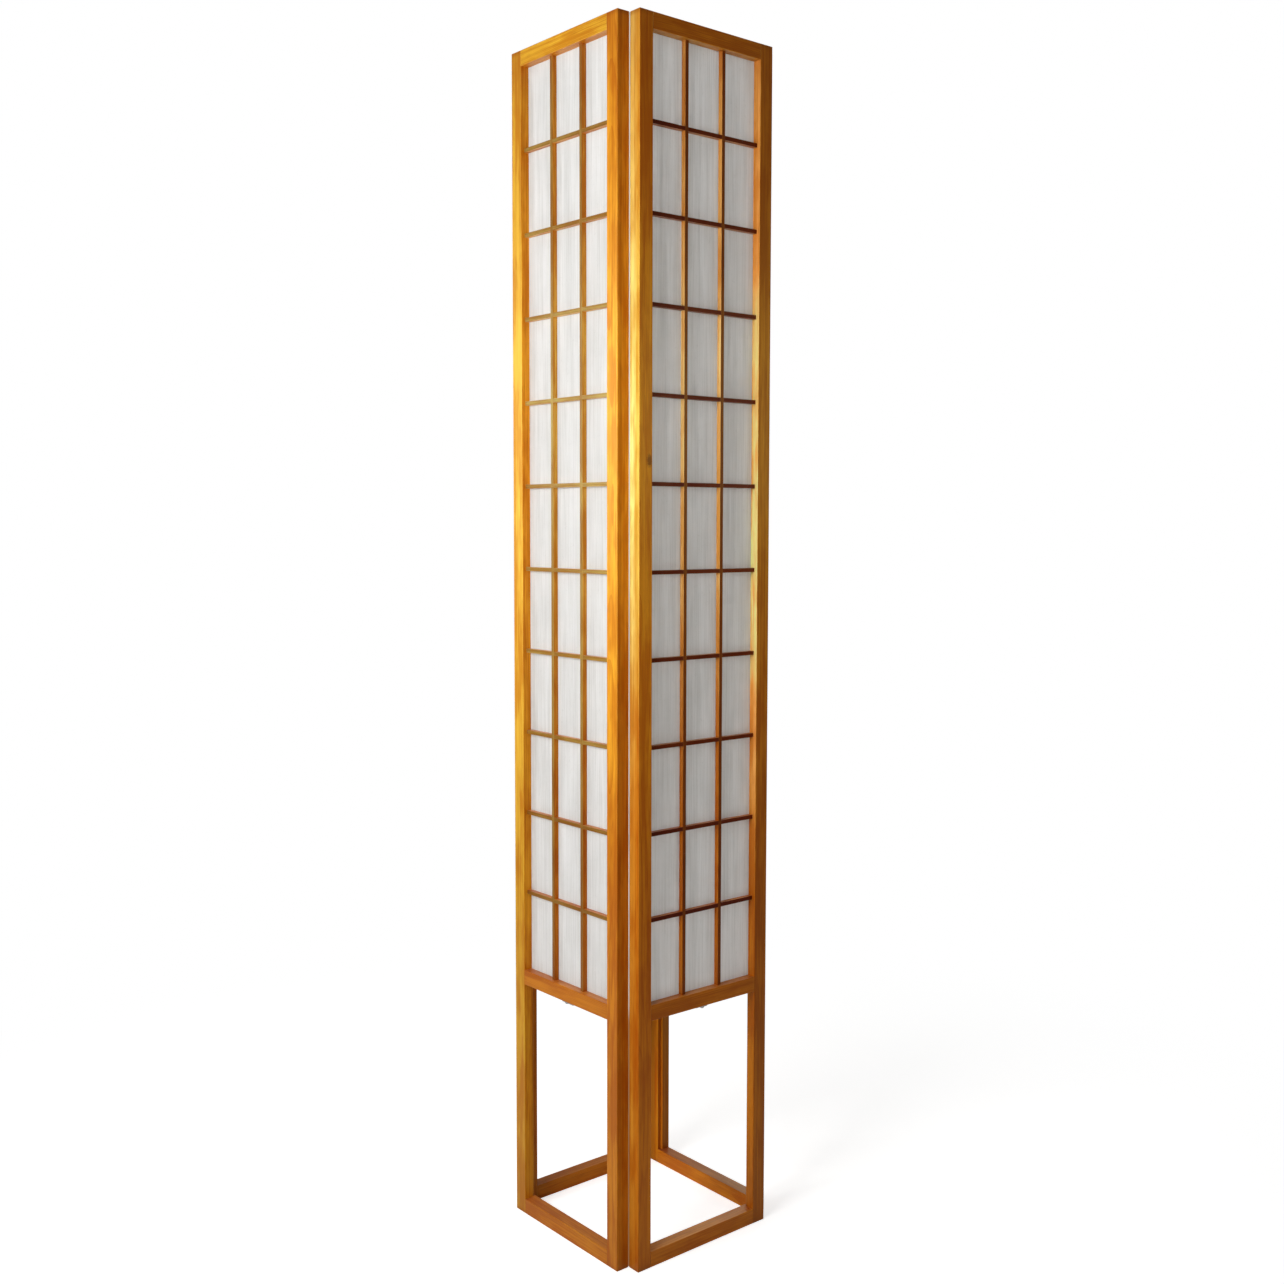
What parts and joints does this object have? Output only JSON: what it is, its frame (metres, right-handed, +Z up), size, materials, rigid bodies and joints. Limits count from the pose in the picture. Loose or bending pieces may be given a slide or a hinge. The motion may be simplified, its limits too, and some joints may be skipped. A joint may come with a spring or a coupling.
{
  "type": "floor lamp",
  "caption": "Tall open-topped floor lamp: hinged wooden lattice panels backed with paper stand corner to corner round a lampholder on crossed straps.",
  "frame": {"origin": "centre of the footprint at floor level", "axes": "+Z up along the lamp's height, -Y out of the front panel, +X to the right panel"},
  "size_m": [0.305, 0.305, 1.829],
  "materials": {
    "frame_wood": "honey lacquered, satin",
    "lattice_wood": "honey lacquered, satin",
    "fibre_paper": "white fibre paper, matt",
    "hinge_brass": "dull brass",
    "plated_steel": "zinc plated",
    "holder_plastic": "black, moulded",
    "cap_aluminium": "drawn",
    "frosted_glass": "frosted white"
  },
  "bodies": {
    "front_panel": {"front_left_stile": "frame_wood", "front_right_stile": "frame_wood", "front_top_rail": "frame_wood", "front_middle_rail": "frame_wood", "front_bottom_rail": "frame_wood", "front_upright_bars": "lattice_wood", "front_cross_bars": "lattice_wood", "front_paper_sheet": "fibre_paper", "front_hinge_leaves": "hinge_brass", "front_hinge_screws": "hinge_brass", "front_pintle_plate": "plated_steel", "front_plate_screw": "plated_steel", "front_hinge_pins": "hinge_brass"},
    "right_panel": {"right_left_stile": "frame_wood", "right_right_stile": "frame_wood", "right_top_rail": "frame_wood", "right_middle_rail": "frame_wood", "right_bottom_rail": "frame_wood", "right_upright_bars": "lattice_wood", "right_cross_bars": "lattice_wood", "right_paper_sheet": "fibre_paper", "right_hinge_leaves": "hinge_brass", "right_hinge_screws": "hinge_brass", "right_pintle_plate": "plated_steel", "right_plate_screw": "plated_steel"},
    "back_panel": {"back_left_stile": "frame_wood", "back_right_stile": "frame_wood", "back_top_rail": "frame_wood", "back_middle_rail": "frame_wood", "back_bottom_rail": "frame_wood", "back_upright_bars": "lattice_wood", "back_cross_bars": "lattice_wood", "back_paper_sheet": "fibre_paper", "back_hinge_leaves": "hinge_brass", "back_hinge_screws": "hinge_brass", "back_pintle_plate": "plated_steel", "back_plate_screw": "plated_steel", "back_hinge_pins": "hinge_brass"},
    "left_panel": {"left_left_stile": "frame_wood", "left_right_stile": "frame_wood", "left_top_rail": "frame_wood", "left_middle_rail": "frame_wood", "left_bottom_rail": "frame_wood", "left_upright_bars": "lattice_wood", "left_cross_bars": "lattice_wood", "left_paper_sheet": "fibre_paper", "left_hinge_leaves": "hinge_brass", "left_hinge_screws": "hinge_brass", "left_pintle_plate": "plated_steel", "left_plate_screw": "plated_steel"},
    "cross_strap": {"front_to_back_strap": "plated_steel"},
    "light_unit": {"side_to_side_strap": "plated_steel", "stem_pipe": "plated_steel", "stem_nuts": "plated_steel", "lampholder_cup": "holder_plastic", "lampholder_barrel": "holder_plastic", "bulb_cap": "cap_aluminium", "bulb_glass": "frosted_glass"}
  },
  "joints": [
    {"name": "fold", "type": "hinge", "parent": "front_panel", "child": "right_panel", "pos_m": [0.13, -0.13, 0], "axis": [0, 0, 1], "range_deg": [-70, 70]},
    {"name": "front_left_corner", "type": "hinge", "parent": "front_panel", "child": "left_panel", "pos_m": [-0.13, -0.13, 0], "axis": [0, 0, 1], "range_deg": [-70, 70]},
    {"name": "back_right_corner", "type": "hinge", "parent": "right_panel", "child": "back_panel", "pos_m": [0.13, 0.13, 0], "axis": [0, 0, 1], "range_deg": [-70, 70]},
    {"name": "front_strap_pivot", "type": "hinge", "parent": "front_panel", "child": "cross_strap", "pos_m": [0, -0.13, 0], "axis": [0, 0, 1], "range_deg": [-70, 70]},
    {"name": "strap_crossing", "type": "hinge", "parent": "cross_strap", "child": "light_unit", "pos_m": [0, 0, 0], "axis": [0, 0, 1], "range_deg": [-70, 70]}
  ],
  "couplings": [
    {"joint": "front_left_corner", "follows": "fold", "ratio": 1},
    {"joint": "back_right_corner", "follows": "fold", "ratio": -1},
    {"joint": "front_strap_pivot", "follows": "fold", "ratio": 1},
    {"joint": "strap_crossing", "follows": "fold", "ratio": -1}
  ]
}
